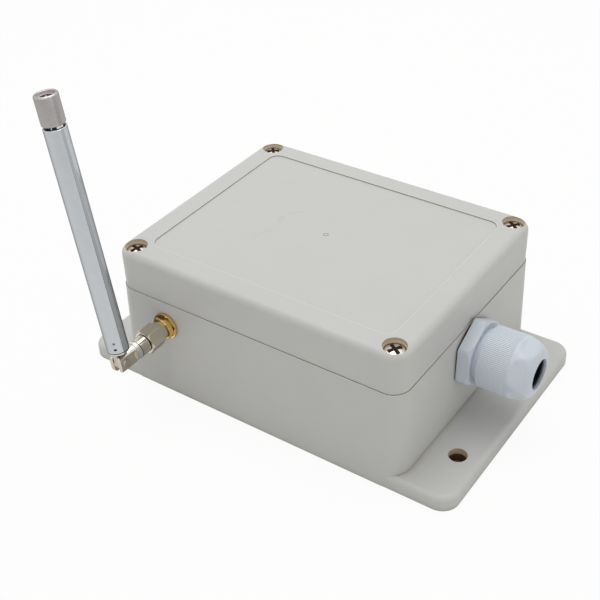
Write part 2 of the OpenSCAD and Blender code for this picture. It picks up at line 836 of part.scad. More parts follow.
module circuit_board() {
    color([0.12, 0.38, 0.22]) difference() {
        translate([0, 0, board_z]) box(board_l, board_w, 0, board_t);
        each_corner(post_x, post_y) rod(1.5, board_z - cut, board_top + cut);
        relay_pin_places() rod(0.5, -board_t - cut, cut);
    }
}

module board_screws() {
    color([0.75, 0.75, 0.76]) each_corner(post_x, post_y) translate([0, 0, board_top])
        pan_head_screw(5.4, 1.8, 2.2, board_t + post_h - 1.2);
}

module terminal_places() {
    for (i = [0:terminal_ways - 1])
        translate([0, (i - (terminal_ways - 1) / 2) * terminal_pitch, 0]) children();
}

module terminal_block() {
    depth = 8.2;
    h = 10;
    color([0.15, 0.45, 0.25]) on_board(terminal_x, 0) difference() {
        rotate([90, 0, 0]) linear_extrude(terminal_l, center = true)
            polygon([[-depth / 2, 0], [depth / 2, 0], [depth / 2, 6.4], [2.4, h], [-depth / 2, h]]);
        terminal_places() {
            translate([depth / 2, 0, 3.4]) box(9, 3.4, -1.8, 1.8);
            translate([-0.9, 0, 0]) rod(1.9, 3.4, h + cut);
        }
    }
}

module terminal_screws() {
    color([0.75, 0.75, 0.76]) on_board(terminal_x - 0.9, 0) terminal_places() difference() {
        rod(1.85, 5.2, 8.6);
        translate([0, 0, 8.6]) rotate([0, 0, 90]) box(4, 0.6, -0.9, cut);
    }
}

module relay_places() {
    for (side = [-1, 1])
        on_board(relay_l / 2 + 4.5, side * (relay_w / 2 + 3.8)) children();
}

module relay_pin_places() {
    far_x = relay_l / 2 - 2.5;
    relay_places() for (p = [[-far_x, 0], [far_x, 5], [far_x, -5], [3 - far_x, 6], [3 - far_x, -6]])
        translate([p[0], p[1], 0]) children();
}

module relays() {
    color([0.12, 0.3, 0.62]) relay_places() {
        box(relay_l, relay_w, 0.3, relay_h + 0.3);
        box(relay_l + 0.4, relay_w + 0.4, 0.3, 1.1);
    }
}

module relay_pins() {
    color([0.8, 0.78, 0.72]) relay_pin_places() rod(0.4, -board_t - 1.2, 0.3);
}

module radio_board() {
    color([0.1, 0.25, 0.5]) on_board(radio_x, radio_y) box(radio_l, radio_w, 0, radio_t);
}

module radio_shield() {
    color([0.78, 0.78, 0.78]) on_board(radio_x + 4, radio_y + 1.5) difference() {
        box(radio_l * 0.6, radio_w * 0.7, radio_t, radio_t + 2.4);
        box(radio_l * 0.6 - 0.6, radio_w * 0.7 - 0.6, radio_t - cut, radio_t + 2.1);
    }
}

module aerial_socket() {
    color([0.83, 0.66, 0.32]) on_board(sma_x, pigtail_y) {
        box(4, 4, radio_t, radio_t + 0.8);
        tube(1.6, pigtail_r, radio_t + 0.7, radio_t + 2.4);
    }
}

// Thin coaxial lead: out of the jack, round one bend and down into the socket
module coax_pigtail() {
    drop_z = board_top + radio_t + 0.8;
    start = -body_w / 2 + jack_rear - 3;
    color([0.55, 0.4, 0.3]) {
        translate([sma_x, start, sma_z]) rotate([-90, 0, 0])
            cylinder(r = pigtail_r, h = pigtail_y - pigtail_bend - start);
        translate([sma_x, pigtail_y - pigtail_bend, sma_z - pigtail_bend]) rotate([90, 0, 90])
            rotate_extrude(angle = 90) translate([pigtail_bend, 0]) circle(pigtail_r);
        translate([sma_x, pigtail_y, 0]) rod(pigtail_r, drop_z, sma_z - pigtail_bend);
    }
}

module microcontroller() {
    pins = 8;
    color([0.14, 0.14, 0.15]) on_board(-6, 14) {
        box(10.3, 7.5, 0.1, 2.4);
        for (i = [0:pins - 1])
            translate([(i - (pins - 1) / 2) * 1.27, 0, 0]) box(0.42, 10.2, 0, 0.3);
    }
}

module quartz_crystal() {
    color([0.8, 0.8, 0.8]) on_board(-19, 14) {
        translate([-3.1, 0, 0]) rod(2.3, 0, 3.4);
        translate([3.1, 0, 0]) rod(2.3, 0, 3.4);
        box(6.2, 4.6, 0, 3.4);
    }
}

module supply_capacitors() {
    color([0.16, 0.2, 0.34]) for (i = [0, 1])
        on_board(capacitor_x, capacitor_y - i * (capacitor_d + 1)) difference() {
            rod(capacitor_r, 0, capacitor_h);
            tube(capacitor_r + cut, capacitor_r - 0.3, 0.9, 1.5);
        }
}

module power_choke() {
    color([0.2, 0.2, 0.2]) on_board(-22, board_w / 2 - 7) {
        rod(5.4, 0, 1);
        rod(3.6, 0, 6);
        rod(5.4, 5, 6);
    }
}

module fuse() {
    color([0.85, 0.86, 0.86]) on_board(fuse_x, fuse_y)
        translate([0, 0, fuse_h]) rotate([0, 90, 0]) rod(2.5, -10, 10);
}

module fuse_clips() {
    color([0.8, 0.78, 0.72]) on_board(fuse_x, fuse_y) for (side = [-1, 1])
        translate([side * 7.8, 0, 0]) difference() {
            box(4, 6.2, 0, fuse_h + 1);
            translate([0, 0, fuse_h]) rotate([0, 90, 0]) rod(2.5 + fit, -4, 4);
            box(8, 3.6, fuse_h, fuse_h + 2);
        }
}

module status_leds() {
    color([0.8, 0.2, 0.15]) for (i = [0, 1])
        on_board(-20 - i * 6, -board_w / 2 + 5) {
            rod(1.9, 0, 0.9);
            rod(1.5, 0, 3.6);
            translate([0, 0, 3.6]) sphere(1.5, $fn = 24);
        }
}

module learn_switch() {
    color([0.16, 0.16, 0.17]) on_board(button_x, button_y) difference() {
        box(6, 6, 0, switch_h);
        rod(1.75 + 0.1, 1.4, switch_h + cut);
    }
}

module learn_button() {
    color([0.75, 0.2, 0.16]) on_board(button_x, button_y) rod(1.75, 1.4 + button_stroke + 0.1, switch_h + button_h);
}

enclosure_base();
enclosure_lid();
lid_gasket();
lid_screws();
lid_inserts();
gland_body();
gland_face_seal();
gland_locknut();
gland_claw();
gland_seal_bush();
gland_dome_nut();
sma_jack();
sma_insulator();
sma_contact();
sma_washer();
sma_hex_nut();
coupling_nut();
plug_body();
plug_insulator();
plug_contact();
swivel_washer();
elbow();
pivot_pin();
antenna_base();
antenna_tube_1();
antenna_tube_2();
antenna_tube_3();
antenna_tube_4();
antenna_rod();
antenna_cap();
circuit_board();
board_screws();
terminal_block();
terminal_screws();
relays();
relay_pins();
radio_board();
radio_shield();
aerial_socket();
coax_pigtail();
microcontroller();
quartz_crystal();
supply_capacitors();
power_choke();
fuse();
fuse_clips();
status_leds();
learn_switch();
learn_button();
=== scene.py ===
"""Looks of the garage door controller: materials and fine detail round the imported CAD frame.

The frame's axes are +X towards the cable gland, -Y towards the antenna and +Z up. The camera, the
lamps, the floor and the materials are in metres, and the sizes and places of pieces in millimetres.
"""
import json
import math

import bmesh
import bpy
from mathutils import Matrix, Vector


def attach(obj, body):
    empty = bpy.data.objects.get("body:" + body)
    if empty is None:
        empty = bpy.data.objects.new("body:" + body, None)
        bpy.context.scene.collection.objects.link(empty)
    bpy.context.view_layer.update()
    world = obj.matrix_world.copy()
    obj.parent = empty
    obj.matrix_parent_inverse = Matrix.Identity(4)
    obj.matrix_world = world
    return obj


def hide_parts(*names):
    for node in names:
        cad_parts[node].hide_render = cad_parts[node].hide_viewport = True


MM = 0.001

# Camera, fitted to the photograph: where it looks from and at
VIEW_AZIMUTH = 35.98
VIEW_ELEVATION = 36.47
VIEW_ROLL = -2.35
VIEW_DISTANCE = 0.39803
VIEW_TARGET = Vector((0, 0, 0.027))
VIEW_OFFSET = (-0.009883, -0.001173)
SENSOR = 36
FOCAL_LENGTH = 66.06
NEAR_CLIP = 0.01

# World's strength where it lights the object, and each lamp's name, place, aim, size and power
SKY_ON_OBJECT = 0.536
LAMPS = (
    ("overhead", (-0.15, 0.1, 0.9), (0, 0, 0), (0.9, 0.7), 4.2),
    ("right_fill", (0.9, -0.1, 0.35), (0, 0, 0.03), (0.6, 0.6), 0.5),
)

# Floor: half its side, its depth below the object, and its share of white glow towards the camera
FLOOR_HALF = 3
FLOOR_DEPTH = 0.0001
FLOOR_GLOW = 0.92
FLOOR_COLOUR = (0.9, 0.895, 0.87, 1)

# Studio flags: those beside the antenna lie in one plane, and those behind it in another
FLAG_SIDE_X = -20
FLAG_FRONT, FLAG_MIDDLE, FLAG_REAR = -68.4, -66.2, -50
FLAG_LOW, FLAG_WAIST, FLAG_HIGH = 0, 38, 130
FLAG_END_Y = -49.6
FLAG_END_LEFT = -62

# Span of a noise's values over which it changes a colour or a roughness
NOISE_LOW, NOISE_HIGH = 0.3, 0.7
WHITE = (1, 1, 1)

# Angle over which an edge is drawn sharp, and the distance in metres within which points are joined
SHARP_ANGLE = 35
JOIN_DISTANCE = 0.000001

# How far thin trim stands proud of what carries it
PROUD = 0.012

# Enclosure
LID_TOP = 54.2
PARTING_Z = 39
LID_HALF = (57.2, 46.0)
LID_CORNER = 6.2
PANEL_HALF = (48.4, 37.2)
PANEL_CORNER = 4
PANEL_Z = 53.8
EAR_HOLE = (68.2, 26.2)
EAR_HOLE_R = 3.25
EAR_SHADE_TOP = 2.9

# Lid screws, with the turn of each one's cross in degrees
SCREW_AT = (51.65, 40.45)
SCREW_SEAT = 50.6
SCREW_HEAD_H = 2.4
SCREW_TURNS = {(1, 1): 52, (-1, 1): 40, (-1, -1): 73, (1, -1): 58}
RECESS_R = 3.97
CROSS_R = 2.4
CROSS_THROAT_R = 0.85
CROSS_ARM = 14
CROSS_DEPTH = 0.5

# Each scuff's line of x, y and half width
SCUFF_PATHS = (
    ((-20.9, -15.5, 0.15), (-19.9, -13.6, 0.5), (-19.3, -11, 0.3), (-18.9, -9, 0.9),
     (-17.9, -7.3, 0.9), (-17.8, -6.6, 0.2)),
    ((-18.2, -2.4, 0.1), (-18.6, -1.2, 1.1), (-19.2, 1.2, 1.2), (-19.5, 2.2, 0.3)),
    ((-19.3, 3.2, 0.2), (-18.2, 5, 0.5), (-17, 6.6, 0.6), (-16, 7.6, 0.9), (-15.3, 8.4, 0.2)),
)

# Gland's dome nut: heights from the wall, bore and mouth, ribs, and the six leaning flats of its nose
GLAND = (57.5, 0, 27.9)
NUT_AT = 7.3
NUT_RIB_END = 17.7
NUT_END = 25.3
NUT_R = 11
NUT_BORE_R = 9.2
NUT_BORE_END = 19
NUT_MOUTH_R = 5.4
NUT_MOUTH_REAR = 24.4
NUT_RIBS = 108
RIB_DEPTH = 0.2
RIB_CHAMFER = 0.25
FLAT_AT = 18.5
FLAT_DEPTH = 0.8
FLAT_RAMP = 1.1
FLAT_LEAN = 17
FLAT_TURN = 26
FLAT_SOFT = 0.5
# Heights of the nose's rings, closer together where the flats begin and where it rounds off
NOSE_HEIGHTS = (NUT_RIB_END + 0.08, 18.3, *(FLAT_AT + 0.22 * k for k in range(6)), 20, 21.2, 21.8, 22.4, 23,
                23.5, 24, 24.4, 24.7, 24.95, 25.12, 25.24, NUT_END)

# Antenna connector: heights from the wall, on its axis
CONNECTOR = (-36.3, -46.3, 29.6)
COUPLING_REAR = 6.3
COUPLING_FRONT = 12.03
COUPLING_HEX = 8
COUPLING_TURN = 1
BARREL_R = 3.36
BARREL_FROM, BARREL_TO = 12.6, 15.9
ELBOW_FROM, ELBOW_TO = 19, 25
ELBOW_HALF = (2.6, 2.03)
ELBOW_R = 3.31

# Antenna: heights from its pivot, on the leaning mast
PIVOT = (-36.3, -69.729, 29.6)
LEAN = 8
MAST_R = 3.75
MAST_FOOT = 4.7
MAST_TOP = 84.9
MARKS_FACE = -54
CAP_AT = 86.1
CAP_TOP = 95.6
CAP_R = 3.815
CAP_SHOULDER = 0.6
CAP_LIP_R = 2.75
CAP_BORE_R = 2.4
CAP_BORE_DEPTH = 2.9
NECK_R = 3.3

# CAD nodes with a look of their own, in place of their material slot's: the elbow's is a lighter copy of the
# nickel, as painted light
NODE_LOOKS = {"elbow": "nickel_painted_lighter"}

# Plastics and the like: name, screen colour, roughness, and what differs from the other plastics
PLASTICS = (
    ("gland_rubber", (14, 17, 26), 0.75, {"gloss": 0.12}),
    ("gasket_rubber", (40, 40, 42), 0.7, {}),
    ("ptfe", (240, 240, 236), 0.5, {}),
    ("board_green", (28, 96, 58), 0.3, {}),
    ("terminal_green", (44, 150, 82), 0.45, {}),
    ("relay_blue", (36, 92, 172), 0.35, {}),
    ("radio_blue", (28, 76, 140), 0.3, {}),
    ("coax_brown", (150, 110, 82), 0.35, {}),
    ("black_epoxy", (36, 36, 38), 0.5, {}),
    ("capacitor_sleeve", (34, 44, 82), 0.35, {}),
    ("ferrite", (70, 70, 72), 0.6, {}),
    ("fuse_glass", (220, 226, 226), 0.08, {}),
    ("led_red", (200, 40, 34), 0.2, {}),
    ("button_red", (190, 44, 36), 0.35, {}),
    ("shade_brown", (46, 31, 22), 0.8, {"gloss": 0.1}),
    ("hole_brown", (104, 82, 66), 0.8, {"gloss": 0.1}),
    # Painted shade lines, and a painted dark reflection on the barrel
    ("painted_shade_line", (122, 110, 95), 0.5, {"gloss": 0.3}),
    # Painted shade in the dome nut's rib valleys and painted light on its crests
    ("valley_painted_shade", (190, 201, 213), 0.6, {"gloss": 0.2}),
    ("crest_painted_light", (226, 231, 237), 0.4, {}),
    # Painted shade in the parting seam, and the colour of the gate mark's ring
    ("gate_ring_and_painted_seam_shade", (148, 144, 136), 0.7, {"gloss": 0.2}),
    # Painted shade in the tube's dimple and punched hole
    ("grey_painted_shade", (110, 112, 116), 0.5, {}),
    ("black_painted_shade", (16, 16, 20), 0.7, {"gloss": 0.1}),
    ("scuff", (196, 196, 192), 0.44, {}),
    # Painted highlight along the rim edges, and the colour of the gate's nub
    ("gate_nub_and_painted_highlight", (214, 214, 210), 0.3, {}),
    # Painted highlight, painted shade lines and painted shade at the bottom of the cap's well
    ("well_painted_highlight", (236, 228, 224), 0.3, {}),
    ("well_ring_painted_shade", (140, 118, 118), 0.5, {}),
    ("well_bottom_painted_shade", (58, 30, 34), 0.5, {"gloss": 0.2}),
)

# Metals: name, screen colour, roughness, reach and tint of the painted shade in their narrow places, and what
# differs from the others
METALS = (
    ("gold_plate", (244, 214, 148), 0.13, 0.0012, (0.3, 0.12, 0.06), {}),
    ("screw_steel", (214, 208, 198), 0.42, 0.0009, (0.08, 0.05, 0.035), {}),
    ("nickel_plate", (208, 199, 182), 0.11, 0.0012, (0.25, 0.2, 0.15), {}),
    ("insert_brass", (206, 170, 100), 0.3, 0.001, (0.5, 0.4, 0.3), {}),
    ("bright_washer", (216, 216, 214), 0.42, 0.0006, (0.5, 0.5, 0.5), {}),
    # A lighter copy of the nickel for the elbow, as painted light
    ("nickel_painted_lighter", (220, 212, 200), 0.1, 0.0012, (0.25, 0.2, 0.15), {}),
    ("tube_chrome", (206, 210, 215), 0.08, 0.0005, (0.25, 0.25, 0.3), {"edge": 0.35}),
    ("cap_nickel", (180, 177, 177), 0.27, 0.0006, (0.4, 0.35, 0.35),
     {"scale": 260, "depth": 0.000002, "mottle": 0.012}),
    ("tinned_metal", (206, 206, 206), 0.3, 0.0006, (0.6, 0.6, 0.6), {}),
)


# Node helpers, for a material or the world

def add_node(owner, kind, **settings):
    node = owner.node_tree.nodes.new(kind)
    for key, value in settings.items():
        setattr(node, key, value)
    return node


def link(owner, source, target):
    owner.node_tree.links.new(source, target)


def set_inputs(node, values):
    for name, value in values.items():
        node.inputs[name].default_value = value


def blank_material(name):
    material = bpy.data.materials.new(name)
    material.use_nodes = True
    material.node_tree.nodes.clear()
    return material, add_node(material, "ShaderNodeOutputMaterial")


def new_material(name):
    material, output = blank_material(name)
    shader = add_node(material, "ShaderNodeBsdfPrincipled")
    link(material, shader.outputs[0], output.inputs[0])
    return material, shader


def position(material):
    return add_node(material, "ShaderNodeTexCoord").outputs["Object"]


def noise(material, scale, detail):
    texture = add_node(material, "ShaderNodeTexNoise")
    set_inputs(texture, {"Scale": scale, "Detail": detail, "Roughness": 0.5})
    link(material, position(material), texture.inputs["Vector"])
    return texture.outputs["Fac"]


def ramp(material, source, low, high, colours):
    node = add_node(material, "ShaderNodeValToRGB")
    for element, place, colour in zip(node.color_ramp.elements, (low, high), colours):
        element.position = place
        element.color = (*colour, 1)
    link(material, source, node.inputs["Fac"])
    return node.outputs["Color"]


def grey(value):
    return (value, value, value)


def srgb(red, green, blue):
    """Linear colour of an 8-bit screen colour."""
    def linear(value):
        value /= 255
        return value / 12.92 if value <= 0.04045 else ((value + 0.055) / 1.055) ** 2.4
    return tuple(linear(value) for value in (red, green, blue))


def vary_colour(material, shader, colour, amount, source):
    dark = tuple(c * (1 - amount) for c in colour)
    light = tuple(min(1, c * (1 + amount)) for c in colour)
    link(material, ramp(material, source, NOISE_LOW, NOISE_HIGH, (dark, light)), shader.inputs["Base Color"])


def vary_roughness(material, shader, low, high, source):
    shades = (grey(low), grey(high))
    link(material, ramp(material, source, NOISE_LOW, NOISE_HIGH, shades), shader.inputs["Roughness"])


def add_bump(material, shader, source, strength, depth):
    bump = add_node(material, "ShaderNodeBump")
    set_inputs(bump, {"Strength": strength, "Distance": depth})
    link(material, source, bump.inputs["Height"])
    link(material, bump.outputs[0], shader.inputs["Normal"])


def tint(material, shader, colours, share=None):
    """Multiply the shader's colour by another colour output, everywhere or by a share."""
    socket = shader.inputs["Base Color"]
    before = socket.links[0].from_socket
    mix = add_node(material, "ShaderNodeMix", data_type="RGBA", blend_type="MULTIPLY")
    mix.inputs["Factor"].default_value = 1
    if share is not None:
        link(material, share, mix.inputs["Factor"])
    link(material, before, mix.inputs["A"])
    link(material, colours, mix.inputs["B"])
    link(material, mix.outputs["Result"], socket)


def painted_hollow_shade(material, distance, dark, low, high):
    """Painted shade: a dark tint of narrow places; it fades as the openness within a distance goes from low
    to high.
    """
    openness = add_node(material, "ShaderNodeAmbientOcclusion", samples=16)
    openness.inputs["Distance"].default_value = distance
    return ramp(material, openness.outputs["AO"], low, high, (dark, WHITE))


def near_axes(material, place, radius):
    """1 within a radius of the four upright axes at (+-x, +-y), 0 elsewhere."""
    size = add_node(material, "ShaderNodeVectorMath", operation="ABSOLUTE")
    link(material, position(material), size.inputs[0])
    flat = add_node(material, "ShaderNodeVectorMath", operation="MULTIPLY")
    link(material, size.outputs[0], flat.inputs[0])
    flat.inputs[1].default_value = (1, 1, 0)
    away = add_node(material, "ShaderNodeVectorMath", operation="DISTANCE")
    link(material, flat.outputs[0], away.inputs[0])
    away.inputs[1].default_value = (place[0] * MM, place[1] * MM, 0)
    within = add_node(material, "ShaderNodeMath", operation="LESS_THAN")
    link(material, away.outputs["Value"], within.inputs[0])
    within.inputs[1].default_value = radius * MM
    return within.outputs[0]


# Stage

def add_object(name, data):
    thing = bpy.data.objects.new(name, data)
    bpy.context.scene.collection.objects.link(thing)
    return thing


def make_camera():
    azimuth, elevation, roll = (math.radians(v) for v in (VIEW_AZIMUTH, VIEW_ELEVATION, VIEW_ROLL))
    level = Vector((math.cos(azimuth), math.sin(azimuth), 0))
    back = Vector((math.sin(azimuth) * math.cos(elevation), -math.cos(azimuth) * math.cos(elevation),
                   math.sin(elevation)))
    upright = back.cross(level)
    right = level * math.cos(roll) + upright * math.sin(roll)
    up = upright * math.cos(roll) - level * math.sin(roll)
    data = bpy.data.cameras.new("camera")
    data.sensor_width = SENSOR
    data.lens = FOCAL_LENGTH
    data.clip_start = NEAR_CLIP
    camera = add_object("camera", data)
    place = VIEW_TARGET + right * VIEW_OFFSET[0] + up * VIEW_OFFSET[1] + back * VIEW_DISTANCE
    turn = Matrix((right, up, back)).transposed().to_4x4()
    camera.matrix_world = Matrix.Translation(place) @ turn
    bpy.context.scene.camera = camera


def make_world():
    """White where the camera, gloss and glass see it, softer where it lights the object."""
    world = bpy.data.worlds.new("studio")
    bpy.context.scene.world = world
    world.use_nodes = True
    world.node_tree.nodes.clear()
    path = add_node(world, "ShaderNodeLightPath")
    seen = path.outputs["Is Camera Ray"]
    for ray in ("Is Glossy Ray", "Is Transmission Ray"):
        either = add_node(world, "ShaderNodeMath", operation="MAXIMUM")
        link(world, seen, either.inputs[0])
        link(world, path.outputs[ray], either.inputs[1])
        seen = either.outputs[0]
    strength = add_node(world, "ShaderNodeMapRange")
    set_inputs(strength, {"To Min": SKY_ON_OBJECT, "To Max": 1})
    background = add_node(world, "ShaderNodeBackground")
    background.inputs["Color"].default_value = (*WHITE, 1)
    output = add_node(world, "ShaderNodeOutputWorld")
    link(world, seen, strength.inputs["Value"])
    link(world, strength.outputs[0], background.inputs["Strength"])
    link(world, background.outputs[0], output.inputs[0])


def make_floor():
    mesh = bpy.data.meshes.new("floor")
    corners = [(sx * FLOOR_HALF, sy * FLOOR_HALF, 0) for sx, sy in ((-1, -1), (1, -1), (1, 1), (-1, 1))]
    mesh.from_pydata(corners, [], [(0, 1, 2, 3)])
    floor = add_object("floor", mesh)
    floor.location.z = -FLOOR_DEPTH
    material, output = blank_material("floor_white")
    shader = add_node(material, "ShaderNodeBsdfPrincipled")
    set_inputs(shader, {"Base Color": FLOOR_COLOUR, "Roughness": 1, "Specular IOR Level": 0})
    glow = add_node(material, "ShaderNodeEmission")
    path = add_node(material, "ShaderNodeLightPath")
    share = add_node(material, "ShaderNodeMath", operation="MULTIPLY")
    share.inputs[1].default_value = FLOOR_GLOW
    mix = add_node(material, "ShaderNodeMixShader")
    link(material, path.outputs["Is Camera Ray"], share.inputs[0])
    link(material, share.outputs[0], mix.inputs[0])
    link(material, shader.outputs[0], mix.inputs[1])
    link(material, glow.outputs[0], mix.inputs[2])
    link(material, mix.outputs[0], output.inputs[0])
    mesh.materials.append(material)


def make_lamp(name, place, aim, size, power):
    data = bpy.data.lights.new(name, "AREA")
    data.shape = "RECTANGLE"
    data.size, data.size_y = size
    data.energy = power
    lamp = add_object(name, data)
    lamp.location = place
    lamp.rotation_euler = (Vector(aim) - Vector(place)).to_track_quat("-Z", "Y").to_euler()


def flag_material(name):
    """Glow of the mesh's shades from the front, clear from behind."""
    material, output = blank_material(name)
    tone = add_node(material, "ShaderNodeVertexColor", layer_name="shade")
    glow = add_node(material, "ShaderNodeEmission")
    clear = add_node(material, "ShaderNodeBsdfTransparent")
    side = add_node(material, "ShaderNodeNewGeometry")
    mix = add_node(material, "ShaderNodeMixShader")
    link(material, tone.outputs["Color"], glow.inputs["Color"])
    link(material, side.outputs["Backfacing"], mix.inputs[0])
    link(material, glow.outputs[0], mix.inputs[1])
    link(material, clear.outputs[0], mix.inputs[2])
    link(material, mix.outputs[0], output.inputs[0])
    return material


def make_flag(name, corners, shades):
    """A studio flag that only glossy rays meet, with a shade at each corner."""
    mesh = bpy.data.meshes.new(name)
    mesh.from_pydata([Vector(c) * MM for c in corners], [], [(0, 1, 2, 3)])
    shade = mesh.color_attributes.new("shade", "FLOAT_COLOR", "POINT")
    for point, value in zip(shade.data, shades):
        point.color = (*value, 1)
    flag = add_object(name, mesh)
    for ray in ("camera", "diffuse", "transmission", "volume_scatter", "shadow"):
        setattr(flag, f"visible_{ray}", False)
    mesh.materials.append(flag_material(name))


def make_flags():
    """Flags beside and behind the antenna, which give polished metal its dark lines."""
    dark, near, soft, pale = (0.13, 0.12, 0.11), (0.2, 0.19, 0.165), grey(0.4), grey(0.68)
    for name, front, rear, foot, waist in (
            ("line", FLAG_FRONT, FLAG_MIDDLE, dark, dark), ("side", FLAG_MIDDLE, FLAG_REAR, near, soft)):
        for part, low, high, shades in (
                ("", FLAG_LOW, FLAG_WAIST, (foot, waist, soft, near)),
                ("_up", FLAG_WAIST, FLAG_HIGH, (waist, pale, pale, soft))):
            corners = [(FLAG_SIDE_X, y, z) for y, z in
                       ((front, low), (front, high), (rear, high), (rear, low))]
            make_flag(f"flag_{name}{part}", corners, shades)
    for part, right, low, high, tones in (
            ("", -38, FLAG_LOW, 39, (0.03, 0.03, 0.1, 0.1)),
            ("_up", -41, 60, FLAG_HIGH, (0.35, 0.2, 0.5, 0.7))):
        corners = [(x, FLAG_END_Y, z) for x, z in
                   ((right, low), (FLAG_END_LEFT, low), (FLAG_END_LEFT, high), (right, high))]
        make_flag(f"flag_end{part}", corners, [grey(tone) for tone in tones])


def make_floor_shade():
    """Shade under the ears, seen through their holes."""
    radius, level, steps = 5, -0.05, 32
    points, faces = [], []
    for sx in (-1, 1):
        for sy in (-1, 1):
            faces.append(list(range(len(points), len(points) + steps)))
            for k in range(steps):
                angle = 2 * math.pi * k / steps
                points.append(Vector((sx * EAR_HOLE[0] + radius * math.cos(angle),
                                      sy * EAR_HOLE[1] + radius * math.sin(angle), level)) * MM)
    mesh = bpy.data.meshes.new("floor_shade")
    mesh.from_pydata(points, [], faces)
    patch = add_object("floor_shade", mesh)
    material, shader = new_material("floor_shade")
    set_inputs(shader, {"Base Color": (*srgb(130, 104, 86), 1), "Roughness": 1})
    mesh.materials.append(material)


# Materials

def plastic(name, colour, roughness, grain=2600, gloss=0.45):
    """Moulded plastic: faint mottle, uneven polish and a fine grain."""
    material, shader = new_material(name)
    spread = 0.04
    vary_colour(material, shader, colour, 0.012, noise(material, scale=45, detail=2))
    vary_roughness(material, shader, roughness - spread, roughness + spread,
                   noise(material, scale=160, detail=3))
    add_bump(material, shader, noise(material, grain, detail=2), strength=0.25, depth=0.00001)
    shader.inputs["Specular IOR Level"].default_value = gloss
    return material, shader


def metal(name, colour, roughness, scale=900, mottle=0.02, depth=0.000004, edge=0.7):
    """Metal with faint mottle and fine polishing marks; edge is how much it reflects at a glancing angle."""
    material, shader = new_material(name)
    set_inputs(shader, {"Metallic": 1, "Specular Tint": (*grey(edge), 1)})
    marks = noise(material, scale, detail=3)
    vary_colour(material, shader, colour, mottle, noise(material, scale=300, detail=2))
    vary_roughness(material, shader, roughness * 0.8, roughness * 1.25, marks)
    add_bump(material, shader, marks, strength=0.15, depth=depth)
    return material, shader


def case_plastic():
    """Case plastic with painted shade in its narrow places and a painted warm shade in the screw recesses and
    ear holes.
    """
    material, shader = plastic("case_plastic", srgb(200, 200, 197), 0.42)
    # Painted shade, warm, within 4 mm and within 0.8 mm of nearby surfaces
    for distance, dark in ((0.004, (0.76, 0.71, 0.64)), (0.0008, (0.72, 0.68, 0.64))):
        tint(material, shader, painted_hollow_shade(material, distance, dark, low=0.3, high=0.8))
    # Painted warm shade: a tan tint round the axes of the screw recesses and ear holes, at every height
    tan = add_node(material, "ShaderNodeRGB")
    tan.outputs[0].default_value = (1.15, 0.98, 0.76, 1)
    for place, radius in ((SCREW_AT, RECESS_R), (EAR_HOLE, EAR_HOLE_R + 0.02)):
        tint(material, shader, tan.outputs[0], near_axes(material, place, radius))
    return material


def nylon(name, colour, roughness):
    """Nylon with a coarser grain, and a painted bluish shade in its narrow places."""
    material, shader = plastic(name, srgb(*colour), roughness, grain=1800)
    tint(material, shader, painted_hollow_shade(material, 0.0006, (0.72, 0.77, 0.82), low=0.3, high=0.65))
    return material


def make_looks():
    """Materials by the record's slot, and some for the scene's own pieces."""
    looks = {"case_plastic": case_plastic(),
             "gland_nylon": nylon("gland_nylon", (207, 214, 223), 0.4),
             "claw_nylon": nylon("claw_nylon", (212, 218, 224), 0.45)}
    for name, colour, roughness, extra in PLASTICS:
        looks[name], _ = plastic(name, srgb(*colour), roughness, **extra)
    for name, colour, roughness, distance, dark, extra in METALS:
        looks[name], shader = metal(name, srgb(*colour), roughness, **extra)
        # Painted shade in each metal's narrow places
        tint(looks[name], shader, painted_hollow_shade(looks[name], distance, dark, low=0.2, high=0.62))
    # Painted shade and painted glint: a dark metal for shaded gaps and a bright one for highlights
    for name, colour, roughness in (
            ("painted_shade_chrome", (44, 44, 58), 0.1), ("painted_glint_chrome", (240, 238, 236), 0.12)):
        looks[name], _ = metal(name, srgb(*colour), roughness, edge=0.9)
    return looks


def finish_nodes(frame, looks):
    """Give each CAD node its own look, or the one of its material slot."""
    for part in frame["record"]["subparts"]:
        name = part["node"]
        slots = frame["nodes"][name].data.materials
        slots.clear()
        slots.append(looks[NODE_LOOKS.get(name, part["material_slot"])])


# Shapes

def own_frame(origin, x, y, z):
    """Matrix from a local frame in millimetres to the scene."""
    turn = Matrix((x, y, z)).transposed().to_4x4()
    return Matrix.Translation(Vector(origin) * MM) @ turn @ Matrix.Scale(MM, 4)


def upright_frame(x, y, z, turn=0):
    angle = math.radians(turn)
    return own_frame((x, y, z), (math.cos(angle), math.sin(angle), 0), (-math.sin(angle), math.cos(angle), 0),
                     (0, 0, 1))


def mast_frame():
    lean = math.radians(LEAN)
    return own_frame(PIVOT, (math.cos(lean), 0, math.sin(lean)), (0, 1, 0),
                     (-math.sin(lean), 0, math.cos(lean)))


def connector_frame(turn=0):
    """The connector's axis as local z, with local x turned up from the scene's x."""
    angle = math.radians(turn)
    return own_frame(CONNECTOR, (math.cos(angle), 0, math.sin(angle)), (-math.sin(angle), 0, math.cos(angle)),
                     (0, -1, 0))


def add_piece(name, body, points, faces, materials, marks=None, smooth=True):
    """A mesh piece that rides on a body; marks choose one of the materials for each face."""
    mesh = bpy.data.meshes.new(name)
    mesh.from_pydata(points, [], faces)
    for material in materials:
        mesh.materials.append(material)
    for index, face in enumerate(mesh.polygons):
        face.use_smooth = smooth
        if marks:
            face.material_index = marks[index]
    shaping = bmesh.new()
    shaping.from_mesh(mesh)
    bmesh.ops.remove_doubles(shaping, verts=shaping.verts, dist=JOIN_DISTANCE)
    bmesh.ops.recalc_face_normals(shaping, faces=shaping.faces)
    shaping.to_mesh(mesh)
    shaping.free()
    if smooth:
        mesh.set_sharp_from_angle(angle=math.radians(SHARP_ANGLE))
    piece = add_object(name, mesh)
    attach(piece, body)
    return piece


